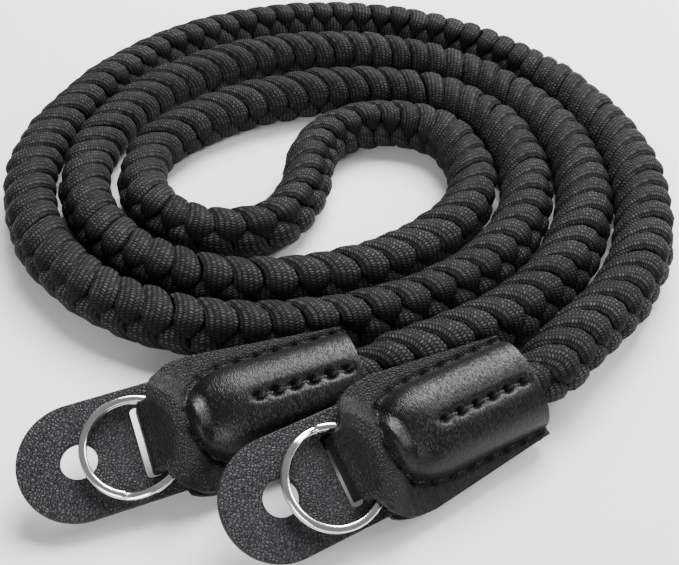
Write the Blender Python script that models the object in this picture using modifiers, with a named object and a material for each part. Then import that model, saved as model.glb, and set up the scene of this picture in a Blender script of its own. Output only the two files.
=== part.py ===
"""Camera strap: a round paracord rope laid in a flat double spiral, with a leather end at each side.

Each end is a strap of leather folded through a split ring. Its upper run is moulded over the rope's end,
its lower run closes it underneath, and a protector flap is held between the two by the tab in its slot.
Metres, +Z up, the origin on the ground under the middle of the strap.
"""
import math

import bmesh
import bpy
from mathutils import Matrix, Vector

MM = 0.001

# Rope
ROPE_DIAMETER = 10.2 * MM           # over the crests of the wraps
WRAP_RELIEF = 0.8 * MM              # depth of the groove between two wraps
WRAP_PITCH = 5.2 * MM
WRAP_SLANT = 2.6 * MM               # how far a wrap leans along the rope, from its middle to its side
ROPE_SIDES = 8
ROPE_END_DIAMETER = 8.4 * MM        # squeezed between the leathers
ROPE_END_LENGTH = 15.0 * MM         # inside each leather end
SQUEEZE_LENGTH = 4.0 * MM           # over which the rope narrows outside the mouth
RISE_LENGTH = 45.0 * MM             # over which the rope lifts off the ground to the mouth
RISE_POINTS = 6                     # of its route, more than lie on that rise
LEAN_WRAPS = 2                      # at each end, over which the wraps begin to lean

# Leather end. Its lengths are measured back from the fold round the ring, except those from the mouth.
CLEARANCE = 0.3 * MM                # between pieces that touch
LEATHER = 1.0 * MM
MOUTH_WIDTH = 16.4 * MM
SHOULDER_WIDTH = 20.6 * MM
SHOULDER_BACK = 8.4 * MM            # where the body is widest
SHOULDER_ROUNDING = 2.6             # the power of the curve from there to the tab
TAB_WIDTH = 13.0 * MM               # at the fold
TAB_END_WIDTH = 9.4 * MM            # where it passes the flap
BULGE_WIDTH = 13.2 * MM             # the moulding over the rope, between its seams
SEAM_LIMIT = 0.88                   # the seam's place at most, as a share of the way to the edge
BULGE_BACK = 5.6 * MM               # where the moulding ends
BULGE_NOSE = 8.6 * MM               # the length over which it falls to the shoulders
CHANNEL_DEPTH = 0.5 * MM            # the stitched channel along the top of the moulding
CHANNEL_BACK = 12.0 * MM
CHANNEL_INSET = 2.5 * MM            # from the mouth
MOUTH_RECESS = 0.4 * MM             # how far the moulding draws the mouth's edge back

# Protector flap. Its lengths are measured out from the fold.
FLAP_LEATHER = 1.2 * MM
FLAP_WIDTH = 16.8 * MM
FLAP_TUCK = 3.6 * MM                # hidden between the leathers, behind the fold
PARTING = 3.0 * MM                  # over which the leathers part to take it
FLAP_HOLE_DIAMETER = 5.1 * MM
FLAP_HOLE_REACH = 7.5 * MM          # from the ring's centre to the hole's
SLOT_FRONT = 2.4 * MM
SLOT_GAP = 0.9 * MM                 # open in front of the tab
SLOT_CORNER = 0.7 * MM

# Split ring
RING_DIAMETER = 14.8 * MM
RING_WIRE_WIDTH = 1.1 * MM
RING_WIRE_HEIGHT = 0.74 * MM
RING_TURN_GAP = 0.08 * MM
RING_REACH = 3.2 * MM               # from the fold to the ring's centre
RING_SLIP = 0.6 * MM                # how far the ring has slid down along the tab
RING_KINK = math.radians(32)        # the turn over which the wire climbs onto the second coil
DRAPE = 1.6 * MM                    # over which the leather falls off the ring

# Places, read from how the strap lies, in mm and degrees. An end's place is its mouth, its length runs from
# there to the fold, its heading points to the ring, its pitch lowers the ring and its roll its front side.
CENTRE = Vector((-0.47, 2.03, 0.0)) * MM    # moved to the origin
ENDS = {
    "left": {
        "mouth": (3.8, -50.4), "length": 31.4, "heading": -157.5, "pitch": 0.4, "roll": 26.0,
        "ring_turn": 100.0,
    },
    "right": {
        "mouth": (28.2, -52.7), "length": 29.8, "heading": -149.5, "pitch": 0.0, "roll": 31.0,
        "ring_turn": -60.0,
    },
}
# The rope's way between the two mouths, a point about every 20 mm and closer in the tight bends, in mm.
ROUTE = [
    (40.1, -41.2), (49.3, -30.3), (56.3, -16.6), (60.2, 0.8), (59.6, 19.0), (54.2, 37.5),
    (44.9, 53.9), (31.9, 67.9), (15.8, 76.9), (-2.0, 80.0), (-19.5, 76.6), (-36.0, 67.3),
    (-48.8, 53.0), (-57.3, 35.2), (-61.4, 15.8), (-59.1, -2.2), (-50.9, -18.9), (-37.8, -31.2),
    (-22.2, -37.7), (-5.0, -38.0), (12.1, -33.0), (26.5, -22.4), (35.8, -7.6), (38.4, 9.8),
    (33.8, 27.0), (21.9, 39.2), (4.5, 42.8), (-12.8, 38.8), (-27.7, 29.8), (-37.3, 17.0),
    (-38.2, 3.4), (-31.9, -7.2), (-21.8, -12.6), (-11.2, -9.6), (-5.8, 1.6), (-4.6, 14.2),
    (1.0, 24.0), (11.6, 27.8), (22.2, 23.6), (27.2, 12.0), (26.8, -0.8), (19.2, -13.3),
    (6.5, -22.7), (-8.5, -27.1), (-23.4, -25.8), (-36.7, -18.4), (-46.3, -6.1), (-50.3, 8.5),
    (-48.6, 24.8), (-41.8, 39.6), (-31.0, 51.4), (-17.0, 58.9), (-1.5, 61.5), (14.5, 58.8),
    (29.0, 50.6), (39.8, 38.6), (46.9, 24.3), (49.5, 8.3), (47.3, -7.9), (40.2, -23.2),
    (30.4, -34.5), (17.4, -43.6),
]


def clear_scene():
    for thing in list(bpy.data.objects):
        bpy.data.objects.remove(thing, do_unlink=True)


def material(name, colour, roughness, metallic=0.0):
    made = bpy.data.materials.new(name)
    made.use_nodes = True
    shader = made.node_tree.nodes["Principled BSDF"]
    shader.inputs["Base Color"].default_value = (*colour, 1.0)
    shader.inputs["Roughness"].default_value = roughness
    shader.inputs["Metallic"].default_value = metallic
    made.diffuse_color = (*colour, 1.0)
    return made


def smooth_step(value):
    value = min(max(value, 0.0), 1.0)
    return value * value * (3.0 - 2.0 * value)


def lerp(a, b, share):
    return a + (b - a) * share


def add_object(name, data, finish, collection, parent=None):
    made = bpy.data.objects.new(name, data)
    made.data.materials.append(finish)
    collection.objects.link(made)
    made.parent = parent
    return made


def loft(name, rings):
    """A closed mesh through rings of points, each ring a closed section, with flat ends."""
    shape = bmesh.new()
    rows = [[shape.verts.new(point) for point in ring] for ring in rings]
    sides = len(rings[0])
    for low, high in zip(rows, rows[1:]):
        for i in range(sides):
            j = (i + 1) % sides
            shape.faces.new((low[i], low[j], high[j], high[i]))
    shape.faces.new(list(reversed(rows[0])))
    shape.faces.new(rows[-1])
    bmesh.ops.recalc_face_normals(shape, faces=shape.faces[:])
    mesh = bpy.data.meshes.new(name)
    shape.to_mesh(mesh)
    shape.free()
    mesh.shade_smooth()
    mesh.set_sharp_from_angle(angle=math.radians(40))
    return mesh


# Leather end: along it, its fold is at 0 and its mouth at minus its length. Heights are above the plane
# half way between its two leathers.

HALF_CLOSED = CLEARANCE / 2 + LEATHER / 2
HALF_PARTED = FLAP_LEATHER / 2 + CLEARANCE + LEATHER / 2
RING_BASE = FLAP_LEATHER / 2 + CLEARANCE
RING_THICKNESS = 2 * RING_WIRE_HEIGHT + RING_TURN_GAP
OVER_RING = RING_BASE + RING_THICKNESS + CLEARANCE + LEATHER / 2
BULGE_TOP = ROPE_END_DIAMETER / 2 + CLEARANCE + LEATHER / 2 + CHANNEL_DEPTH
BULGE_UNDER = ROPE_END_DIAMETER / 2 + CLEARANCE + LEATHER / 2
TAB_PLACE = SLOT_FRONT - SLOT_GAP - LEATHER / 2


def end_height(end):
    """How high the mouth's middle is when the end's front shoulder touches the ground."""
    roll, pitch = math.radians(end["roll"]), math.radians(end["pitch"])
    underside = HALF_PARTED + LEATHER / 2
    level = SHOULDER_WIDTH / 2 * math.sin(roll) + underside * math.cos(roll)
    return level * math.cos(pitch) + (end["length"] * MM - SHOULDER_BACK) * math.sin(pitch)


def half_width(along, length):
    if along <= -SHOULDER_BACK:
        return lerp(SHOULDER_WIDTH, MOUTH_WIDTH, (along + SHOULDER_BACK) / (SHOULDER_BACK - length)) / 2
    return lerp(SHOULDER_WIDTH, TAB_WIDTH, (1 + along / SHOULDER_BACK) ** SHOULDER_ROUNDING) / 2


def dome(along, across):
    """The moulding over the rope: 1 on its crest, 0 at its seam."""
    nose = max(0.0, 1 + (along + BULGE_BACK) / BULGE_NOSE)
    share = (2 * across / BULGE_WIDTH) ** 2 + nose ** 2
    return math.sqrt(1.0 - share) if share < 1.0 else 0.0


def wing_level(along):
    """The leathers part where the flap is tucked between them."""
    tuck = FLAP_TUCK + CLEARANCE
    return lerp(HALF_CLOSED, HALF_PARTED, smooth_step((along + tuck) / PARTING + 1))


def top_height(along, across, length):
    level = wing_level(along)
    from_ring = math.hypot(along - RING_REACH, across - RING_SLIP)
    drape = smooth_step(1 + (RING_DIAMETER / 2 + CLEARANCE + LEATHER / 2 - from_ring) / DRAPE)
    level = lerp(level, OVER_RING, drape)
    in_channel = CHANNEL_INSET - length < along < -CHANNEL_BACK and abs(across) < CHANNEL_DEPTH / 2
    crest = BULGE_TOP - (CHANNEL_DEPTH if in_channel else 0.0)
    return level + (crest - HALF_CLOSED) * dome(along, across)


def under_height(along, across):
    return -wing_level(along) - (BULGE_UNDER - HALF_CLOSED) * dome(along, across)


def across_places(half):
    """Places across the leather: close over the moulding, then out to the edge."""
    seam = min(BULGE_WIDTH / 2, SEAM_LIMIT * half)
    right = [seam * share for share in (0.3, 0.58, 0.8, 0.94, 1.0)] + [(seam + half) / 2, half]
    return [-place for place in reversed(right)] + [0.0] + right


# Shares of the end's length, from its mouth to its fold and back
UNDER_STATIONS = (0.0, 0.2, 0.4, 0.55, 0.66, 0.75, 0.83, 0.91, 0.97)
TOP_STATIONS = (0.99, 0.95, 0.90, 0.85, 0.80, 0.75, 0.68, 0.60, 0.50, 0.36, 0.20, 0.1, 0.0)
# The fold: a share of the way out to the tab, a height as a share of the leather's over the ring or under
# the flap, and a share of the way from the tab's width in the slot to its full width.
FOLD_STATIONS = (
    {"out": 0.70, "height": -1.0, "widen": 0.10},
    {"out": 1.00, "height": -0.45, "widen": 0.0},
    {"out": 1.00, "height": 0.25, "widen": 0.0},
    {"out": 0.85, "height": 0.68, "widen": 0.0},
    {"out": 0.40, "height": 1.0, "widen": 0.0},
)


def fold_row(station):
    reach = OVER_RING if station["height"] > 0 else HALF_PARTED
    half = lerp(TAB_END_WIDTH, TAB_WIDTH, station["widen"]) / 2
    return [Vector((TAB_PLACE * station["out"], v, reach * station["height"])) for v in across_places(half)]


def cover_rows(length):
    rows = []
    for share in UNDER_STATIONS:
        along = (share - 1) * length
        half = half_width(along, length) if share < 0.95 else TAB_END_WIDTH / 2 + CLEARANCE
        rows.append([Vector((along, v, under_height(along, v))) for v in across_places(half)])
    rows += [fold_row(station) for station in FOLD_STATIONS]
    for share in TOP_STATIONS:
        along = (share - 1) * length
        row = []
        for v in across_places(half_width(along, length)):
            recess = MOUTH_RECESS * dome(along, v) if share == 0.0 else 0.0
            row.append(Vector((along + recess, v, top_height(along, v, length))))
        rows.append(row)
    return rows


def leather_cover(name, finish, collection, parent, length):
    """The folded leather: one sheet through its middle surface, thickened to its wall."""
    shape = bmesh.new()
    rows = [[shape.verts.new(point) for point in row] for row in cover_rows(length)]
    for low, high in zip(rows, rows[1:]):
        for i in range(len(low) - 1):
            shape.faces.new((low[i], high[i], high[i + 1], low[i + 1]))
    mesh = bpy.data.meshes.new(name)
    shape.to_mesh(mesh)
    shape.free()
    mesh.shade_smooth()
    cover = add_object(name, mesh, finish, collection, parent)
    wall = cover.modifiers.new("wall", "SOLIDIFY")
    wall.thickness = LEATHER
    wall.offset = 0.0
    wall.use_even_offset = True
    return cover


def outline(curve, points):
    spline = curve.splines.new("POLY")
    spline.points.add(len(points) - 1)
    for place, (x, y) in zip(spline.points, points):
        place.co = (x, y, 0.0, 1.0)
    spline.use_cyclic_u = True


def arc(centre, radius, start, stop, steps):
    turns = [math.radians(lerp(start, stop, i / steps)) for i in range(steps + 1)]
    return [(centre[0] + radius * math.cos(t), centre[1] + radius * math.sin(t)) for t in turns]


def protector_flap(name, finish, collection, parent):
    """The round-ended patch with its lug hole and the slot that the tab passes through."""
    curve = bpy.data.curves.new(name, "CURVE")
    curve.dimensions = "2D"
    curve.fill_mode = "BOTH"
    curve.extrude = FLAP_LEATHER / 2
    half = FLAP_WIDTH / 2
    hole = (RING_REACH + FLAP_HOLE_REACH, 0.0)
    outline(curve, [(-FLAP_TUCK, half), (-FLAP_TUCK, -half)] + arc(hole, half, -90, 90, 18))
    outline(curve, arc(hole, FLAP_HOLE_DIAMETER / 2, 0, 345, 23))
    back = TAB_PLACE - LEATHER / 2 - CLEARANCE
    reach = TAB_END_WIDTH / 2 + CLEARANCE + SLOT_CORNER / 2 - SLOT_CORNER
    slot = []
    for place, side, start in ((SLOT_FRONT, 1, 0), (back, 1, 90), (back, -1, 180), (SLOT_FRONT, -1, 270)):
        inward = SLOT_CORNER if place == back else -SLOT_CORNER
        slot += arc((place + inward, side * reach), SLOT_CORNER, start, start + 90, 3)
    outline(curve, slot)
    return add_object(name, curve, finish, collection, parent)


def split_ring(name, finish, collection, parent, start):
    """Two coils of flat wire, the second climbing onto the first over the kink."""
    centre = Vector((RING_REACH, RING_SLIP, RING_BASE + RING_THICKNESS / 2))
    radius = (RING_DIAMETER - RING_WIRE_WIDTH) / 2
    lift = (RING_WIRE_HEIGHT + RING_TURN_GAP) / 2
    corner = 0.3
    section = [(1, 0), (1 - corner, 1), (corner - 1, 1), (-1, 0), (corner - 1, -1), (1 - corner, -1)]
    full = 2 * math.pi
    steps = 46
    rings = []
    for i in range(steps + 1):
        turn = (2 * full - RING_KINK) * i / steps
        height = lerp(-lift, lift, smooth_step((turn - full + RING_KINK) / RING_KINK))
        angle = turn + start
        out = Vector((math.cos(angle), math.sin(angle), 0.0))
        rings.append([
            centre + out * (radius + x * RING_WIRE_WIDTH / 2)
            + Vector((0, 0, height + y * RING_WIRE_HEIGHT / 2))
            for x, y in section
        ])
    return add_object(name, loft(name, rings), finish, collection, parent)


def end_place(end):
    """The matrix that carries an end from its own axes to where it lies."""
    heading, pitch, roll = (math.radians(end[angle]) for angle in ("heading", "pitch", "roll"))
    x, y = end["mouth"]
    mouth = Vector((x * MM, y * MM, end_height(end))) - CENTRE
    lean = Matrix.Rotation(pitch, 4, "Y") @ Matrix.Rotation(-roll, 4, "X")
    turn = Matrix.Rotation(heading, 4, "Z") @ lean
    return Matrix.Translation(mouth) @ turn @ Matrix.Translation((end["length"] * MM, 0, 0))


def rope_points():
    """The rope's route, from inside the right end to inside the left one."""
    way = [Vector((x * MM, y * MM, ROPE_DIAMETER / 2)) - CENTRE for x, y in ROUTE]
    tails = []
    for side, near in (("right", way), ("left", way[::-1])):
        end = ENDS[side]
        from_mouth = (-SQUEEZE_LENGTH, ROPE_END_LENGTH / 2, ROPE_END_LENGTH)
        place = end_place(end)
        tails.append([place @ Vector((along - end["length"] * MM, 0, 0)) for along in from_mouth])
        mouth = tails[-1][0]
        for point in near[:RISE_POINTS]:
            away = (point.xy - mouth.xy).length
            point.z = lerp(mouth.z, point.z, smooth_step(away / RISE_LENGTH))
    return tails[0][::-1] + way + tails[1]


def smooth_line(points, step):
    """A curve through the points, then evenly spaced places on it."""
    fine = []
    padded = [2 * points[0] - points[1]] + points + [2 * points[-1] - points[-2]]
    for a, b, c, d in zip(padded, padded[1:], padded[2:], padded[3:]):
        for i in range(12):
            t = i / 12
            fine.append(
                0.5 * (2 * b + (c - a) * t + (2 * a - 5 * b + 4 * c - d) * t ** 2
                       + (3 * b - a - 3 * c + d) * t ** 3)
            )
    fine.append(points[-1])
    lengths = [0.0]
    for a, b in zip(fine, fine[1:]):
        lengths.append(lengths[-1] + (b - a).length)
    count = round(lengths[-1] / step)
    line, k = [], 0
    for i in range(count + 1):
        target = lengths[-1] * i / count
        while k < len(fine) - 2 and lengths[k + 1] < target:
            k += 1
        share = (target - lengths[k]) / (lengths[k + 1] - lengths[k])
        line.append(fine[k].lerp(fine[k + 1], share))
    return line


def rope_frame(line, place):
    """A point on the line at a fractional index, with its sideways and upward directions."""
    last = len(line) - 1
    place = min(max(place, 0.0), float(last))
    i = min(int(place), last - 1)
    point = line[i].lerp(line[i + 1], place - i)
    before, after = line[max(i - 1, 0)], line[min(i + 2, last)]
    ahead = (after - before).normalized()
    side = Vector((0, 0, 1)).cross(ahead).normalized()
    return point, side, ahead.cross(side)


def woven_rope(name, finish, collection):
    """The rope as one solid: a crest and a groove for each wrap, leaning as the wraps do."""
    step = WRAP_PITCH / 2
    line = smooth_line(rope_points(), step)
    for point in line:
        point.z = max(point.z, ROPE_DIAMETER / 2)
    last = len(line) - 1
    length = last * step
    rings = []
    for i in range(last + 1):
        from_end = min(i, last - i) * step
        squeeze = smooth_step((from_end - ROPE_END_LENGTH - WRAP_SLANT) / SQUEEZE_LENGTH)
        crest = lerp(ROPE_END_DIAMETER, ROPE_DIAMETER, squeeze) / 2
        radius = crest - (WRAP_RELIEF * squeeze if i % 2 else 0.0)
        lean = WRAP_SLANT / step * smooth_step(from_end / (LEAN_WRAPS * WRAP_PITCH))
        ring = []
        for k in range(ROPE_SIDES):
            angle = 2 * math.pi * k / ROPE_SIDES
            point, side, up = rope_frame(line, i - lean * math.cos(angle))
            ring.append(point + side * radius * math.cos(angle) + up * radius * math.sin(angle))
        rings.append(ring)
    print("rope length", round(length / MM), "mm,", last // 2, "wraps")
    return add_object(name, loft(name, rings), finish, collection)


def build():
    clear_scene()
    strap = bpy.data.collections.new("paracord_camera_strap")
    bpy.context.scene.collection.children.link(strap)
    nylon = material("black_nylon", (0.016, 0.016, 0.017), 0.62)
    leather = material("black_leather", (0.018, 0.018, 0.019), 0.42)
    steel = material("polished_steel", (0.80, 0.80, 0.80), 0.16, 1.0)
    woven_rope("paracord_rope", nylon, strap)
    for side, end in ENDS.items():
        frame = bpy.data.objects.new(f"{side}_end_frame", None)
        strap.objects.link(frame)
        frame.matrix_world = end_place(end)
        leather_cover(f"{side}_leather_end", leather, strap, frame, end["length"] * MM)
        protector_flap(f"{side}_protector_flap", leather, strap, frame)
        split_ring(f"{side}_split_ring", steel, strap, frame, math.radians(end["ring_turn"]))


build()
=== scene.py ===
import math

import bmesh
import bpy
from mathutils import Matrix, Vector


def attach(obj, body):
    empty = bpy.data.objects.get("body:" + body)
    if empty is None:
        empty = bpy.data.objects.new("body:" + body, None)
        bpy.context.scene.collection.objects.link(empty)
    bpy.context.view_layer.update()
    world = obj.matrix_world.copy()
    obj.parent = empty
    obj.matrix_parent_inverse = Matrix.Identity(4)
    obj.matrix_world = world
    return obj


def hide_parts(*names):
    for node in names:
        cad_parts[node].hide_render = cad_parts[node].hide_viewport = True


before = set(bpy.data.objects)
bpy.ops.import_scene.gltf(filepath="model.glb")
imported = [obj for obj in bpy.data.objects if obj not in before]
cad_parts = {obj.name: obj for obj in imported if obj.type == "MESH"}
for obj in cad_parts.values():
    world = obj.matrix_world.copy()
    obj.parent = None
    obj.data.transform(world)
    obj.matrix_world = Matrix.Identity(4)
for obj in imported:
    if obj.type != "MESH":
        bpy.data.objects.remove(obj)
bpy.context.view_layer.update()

mm = 0.001
print("camera strap: frame loaded")


# Meshes

def smoothStep(value):
    value = min(max(value, 0.0), 1.0)
    return value * value * (3.0 - 2.0 * value)


def mix(a, b, share):
    return a + (b - a) * share


def newPiece(name, data, *finishes):
    made = bpy.data.objects.new(name, data)
    bpy.context.scene.collection.objects.link(made)
    for finish in finishes:
        data.materials.append(finish)
    return made


def gridMesh(name, rows, uvRows=None, uvName=None, closed=False, capped=False,
             shareName=None, shares=None):
    # faces between rows of points, with UVs and one value for each point where they are given
    shape = bmesh.new()
    uvLayer = shape.loops.layers.uv.new(uvName) if uvRows else None
    shareLayer = shape.verts.layers.float.new(shareName) if shareName else None
    places = [[shape.verts.new(point) for point in row] for row in rows]
    if shareName:
        for line, values in zip(places, shares):
            for point, value in zip(line, values):
                point[shareLayer] = value
    count = len(rows[0])
    for a in range(len(rows) - 1):
        for b in range(count if closed else count - 1):
            corners = ((a, b), (a + 1, b), (a + 1, b + 1), (a, b + 1))
            face = shape.faces.new([places[m][n % count] for m, n in corners])
            face.smooth = True
            if uvRows:
                for loop, (m, n) in zip(face.loops, corners):
                    loop[uvLayer].uv = uvRows[m][n]
    if capped:
        for ring in (places[0][::-1], places[-1]):
            shape.faces.new(ring).smooth = True
    bmesh.ops.recalc_face_normals(shape, faces=shape.faces[:])
    mesh = bpy.data.meshes.new(name)
    shape.to_mesh(mesh)
    shape.free()
    return mesh


def discard(*helpers):
    for helper in helpers:
        bpy.data.objects.remove(helper, do_unlink=True)


def bakedMesh(helper):
    # what a helper's curve or modifiers make, as a plain mesh that takes its place
    evaluated = helper.evaluated_get(bpy.context.evaluated_depsgraph_get())
    mesh = bpy.data.meshes.new_from_object(evaluated)
    discard(helper)
    return mesh


def newCurve(name, dimensions):
    curve = bpy.data.curves.new(name, "CURVE")
    curve.dimensions = dimensions
    return curve


def addLine(curve, points, closed=False):
    spline = curve.splines.new("POLY")
    spline.points.add(len(points) - 1)
    for point, place in zip(spline.points, points):
        point.co = (*place, 1.0)
    spline.use_cyclic_u = closed


# Node trees

def feed(tree, socket, value):
    if isinstance(value, bpy.types.NodeSocket):
        tree.links.new(value, socket)
    else:
        socket.default_value = value


def addNode(tree, kind, values=None, **settings):
    node = tree.nodes.new(kind)
    for name, value in settings.items():
        setattr(node, name, value)
    for name, value in (values or {}).items():
        feed(tree, node.inputs[name], value)
    return node


def calc(tree, operation, *values):
    node = addNode(tree, "ShaderNodeMath", dict(enumerate(values)), operation=operation)
    return node.outputs[0]


def vectorCalc(tree, operation, *values):
    node = addNode(tree, "ShaderNodeVectorMath", dict(enumerate(values)), operation=operation)
    return node.outputs[0]


def scaled(tree, vector, share):
    return addNode(tree, "ShaderNodeVectorMath", {0: vector, "Scale": share}, operation="SCALE").outputs[0]


def splitVector(tree, vector):
    return addNode(tree, "ShaderNodeSeparateXYZ", {0: vector}).outputs


def randomVector(tree, span, seed):
    return addNode(tree, "FunctionNodeRandomValue", {"Min": span[0], "Max": span[1], "Seed": seed},
                   data_type="FLOAT_VECTOR").outputs[0]


def ramped(tree, value, start, stop, low=0.0, high=1.0, kind="SMOOTHSTEP"):
    # from low to high as the value goes from start to stop
    return addNode(tree, "ShaderNodeMapRange", {
        "Value": value, "From Min": start, "From Max": stop, "To Min": low, "To Max": high},
        interpolation_type=kind).outputs[0]


def noiseAt(tree, place, scale, detail, **values):
    return addNode(tree, "ShaderNodeTexNoise", {"Vector": place, "Scale": scale, "Detail": detail, **values})


def objectPlace(tree):
    # a piece's own coordinates, in mm
    return scaled(tree, addNode(tree, "ShaderNodeTexCoord").outputs["Object"], 1 / mm)


def attribute(tree, name):
    return addNode(tree, "ShaderNodeAttribute", attribute_name=name).outputs["Fac"]


def addBump(tree, shader, height, relief, strength=1.0):
    # relief: how high a height of 1 is, in mm
    bump = addNode(tree, "ShaderNodeBump", {"Height": height, "Strength": strength, "Distance": relief * mm})
    tree.links.new(bump.outputs[0], shader.inputs["Normal"])


def newMaterial(name, **values):
    made = bpy.data.materials.new(name)
    made.use_nodes = True
    shader = made.node_tree.nodes["Principled BSDF"]
    for socket, value in values.items():
        shader.inputs[socket.replace("_", " ")].default_value = value
    return made, made.node_tree, shader


def colourRamp(tree, source, stops):
    node = addNode(tree, "ShaderNodeValToRGB", {0: source})
    ramp = node.color_ramp
    while len(ramp.elements) < len(stops):
        ramp.elements.new(0.5)
    for element, (place, colour) in zip(ramp.elements, stops):
        element.position = place
        element.color = (*colour, 1.0)
    return node.outputs[0]


def keyed(tree, share, keys, reach):
    # follows keys of (share, value), whose values lie from -reach to reach
    node = addNode(tree, "ShaderNodeFloatCurve", {"Value": share})
    points = node.mapping.curves[0].points
    while len(points) < len(keys):
        points.new(0.5, 0.5)
    for point, (place, value) in zip(points, keys):
        point.location = (place, 0.5 + value / (2 * reach))
    node.mapping.update()
    return calc(tree, "MULTIPLY", calc(tree, "SUBTRACT", node.outputs[0], 0.5), 2 * reach)


def keyedAt(share, keys):
    # the same between two keys, in a straight line
    for (start, low), (stop, high) in zip(keys, keys[1:]):
        if share <= stop:
            return mix(low, high, (share - start) / (stop - start))
    return keys[-1][1]


def geometryTree(name, inputs):
    tree = bpy.data.node_groups.new(name, "GeometryNodeTree")
    tree.interface.new_socket("Geometry", in_out="INPUT", socket_type="NodeSocketGeometry")
    for label, kind in inputs.items():
        tree.interface.new_socket(label, in_out="INPUT", socket_type="NodeSocket" + kind)
    tree.interface.new_socket("Geometry", in_out="OUTPUT", socket_type="NodeSocketGeometry")
    return tree, tree.nodes.new("NodeGroupInput").outputs, tree.nodes.new("NodeGroupOutput").inputs[0]


def objectShape(tree, piece):
    return addNode(tree, "GeometryNodeObjectInfo", {"Object": piece}).outputs["Geometry"]


def finishTree(tree, geometry, finish, result):
    smooth = addNode(tree, "GeometryNodeSetShadeSmooth", {"Geometry": geometry})
    real = addNode(tree, "GeometryNodeRealizeInstances", {0: smooth.outputs[0]})
    finished = addNode(tree, "GeometryNodeSetMaterial", {"Geometry": real.outputs[0], "Material": finish})
    tree.links.new(finished.outputs[0], result)


def runTree(name, tree, values):
    host = newPiece(name, bpy.data.meshes.new(name))
    modifier = host.modifiers.new(tree.name, "NODES")
    modifier.node_group = tree
    for item in tree.interface.items_tree:
        if item.in_out == "INPUT" and item.name in values:
            modifier[item.identifier] = values[item.name]
    return bakedMesh(host)


# Camera

cameraView = {
    "place": (1.57, -148.53, 105.82), "down": 40.0,  # in mm, and degrees below level
    "lens": 47.80, "sensor": 36.0, "clip": 0.005,
}

lens = bpy.data.cameras.new("photo_camera")
lens.lens = cameraView["lens"]
lens.sensor_width = cameraView["sensor"]
lens.sensor_fit = "HORIZONTAL"
lens.clip_start = cameraView["clip"]
viewer = newPiece("photo_camera", lens)
viewer.location = Vector(cameraView["place"]) * mm
viewer.rotation_euler = (math.radians(90.0 - cameraView["down"]), 0.0, 0.0)
bpy.context.scene.camera = viewer


# How the two leather ends lie, in mm and degrees

layout = {
    "centre": (-0.47, 2.03),
    "left": {"mouth": (3.8, -50.4), "length": 31.4, "heading": -157.5, "pitch": 0.4, "roll": 26.0,
             "ringTurn": 100.0},
    "right": {"mouth": (28.2, -52.7), "length": 29.8, "heading": -149.5, "pitch": 0.0, "roll": 31.0,
              "ringTurn": -60.0},
}

leather = {
    "wall": 1.0, "clearance": 0.3, "flapWall": 1.2, "flapTuck": 3.6, "parting": 3.0,
    "mouthWidth": 16.4, "shoulderWidth": 20.6, "shoulderBack": 8.4, "shoulderRounding": 2.6,
    "tabWidth": 13.0, "tabEndWidth": 9.4, "mouthRecess": 0.4,
    "bulgeWidth": 13.2, "bulgeBack": 5.6, "bulgeNose": 8.6, "bulgeExtra": 0.5,
    # how square the moulding's front is, where 2 is an ellipse, and how softly it rises from its seam
    "squareness": 2.5, "roundness": 0.07,
    "channelDepth": 0.35, "channelWidth": 3.4, "channelLength": 13.8, "channelInset": 2.5,
    # how far past its ends the channel's depth fades out, and over how far
    "channelFade": {"mouth": (1.5, 3.0), "nose": (2.0, 5.0)}, "channelFlat": 0.1,
    "crease": 0.28, "creaseWidth": 0.45, "creaseOut": 1.03,  # the seam's depth, width and place
    "mouldedFade": 0.1, "mouthRun": 2.0,  # how far the moulding's finish and the mouth's lip reach in
    # the fold: how far out its lower start, its front and its upper end lie
    "foldBack": -2.8, "foldFront": 1.5, "foldTip": 0.55, "foldStep": 0.25, "foldLap": 0.15, "tabFlare": 2.2,
    "fineHalf": 7.6,  # half the width whose rows of points are closely spaced
    "softEdge": 0.16, "softAngle": 62,  # how far its cut edges are rounded, and past which angle
}
ring = {
    "diameter": 14.8, "wireWidth": 1.1, "wireHeight": 0.74, "turnGap": 0.08, "reach": 3.2, "slip": 0.6,
    "kink": 32.0, "squareness": 0.8, "endTaper": 0.86, "steps": 200, "sides": 12,
    # how far out the leather slopes down from it, and how steeply the leather falls to the slot inside it
    "drape": 3.4, "fall": 1.1, "fallEase": 0.1, "fallRun": 2.0, "slotPlace": 1.0,
}
rope = {
    "diameter": 10.2, "pitch": 5.2, "cord": 2.3, "core": 3.4,
    "lean": 2.6, "leanTo": 66.0,  # how far a cord leans along it, and by which angle round it
    "endDiameter": 8.4, "endLength": 15.0, "squeeze": 4.0, "rise": 45.0, "risePoints": 6,
    # by share of its length: how far its cords are rolled round it, in degrees, and how full it lies
    "roll": (
        (0.0, 10), (0.03, 26), (0.095, 30), (0.12, 0), (0.14, -32), (0.22, -32), (0.255, 0), (0.29, 26),
        (0.45, 28), (0.48, 14), (0.515, 14), (0.545, 34), (0.605, 34), (0.64, -8), (0.67, -8), (0.70, -28),
        (0.79, -26), (0.83, -12), (0.86, -12), (0.89, -28), (0.95, -28), (1.0, -10),
    ),
    "girth": (
        (0.0, 1.0), (0.03, 1.03), (0.055, 1.09), (0.11, 1.09), (0.14, 1.06), (0.22, 1.06), (0.28, 1.03),
        (0.31, 1.0), (0.40, 1.0), (0.425, 1.08), (0.46, 1.08), (0.50, 1.06), (0.54, 1.0), (0.59, 1.0),
        (0.62, 1.03), (0.66, 1.0), (0.74, 1.0), (0.80, 1.06), (0.87, 1.08), (0.93, 1.08), (0.97, 1.0),
        (1.0, 1.0),
    ),
    # how far a cord may be turned, in radians, and stretched
    "spin": ((-0.10, -0.05, -0.06), (0.10, 0.05, 0.06)),
    "stretch": ((-0.04, -0.02, -0.02), (0.05, 0.03, 0.03)),
    "seeds": {"spin": 0, "stretch": 7, "tone": 20},
}
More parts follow.
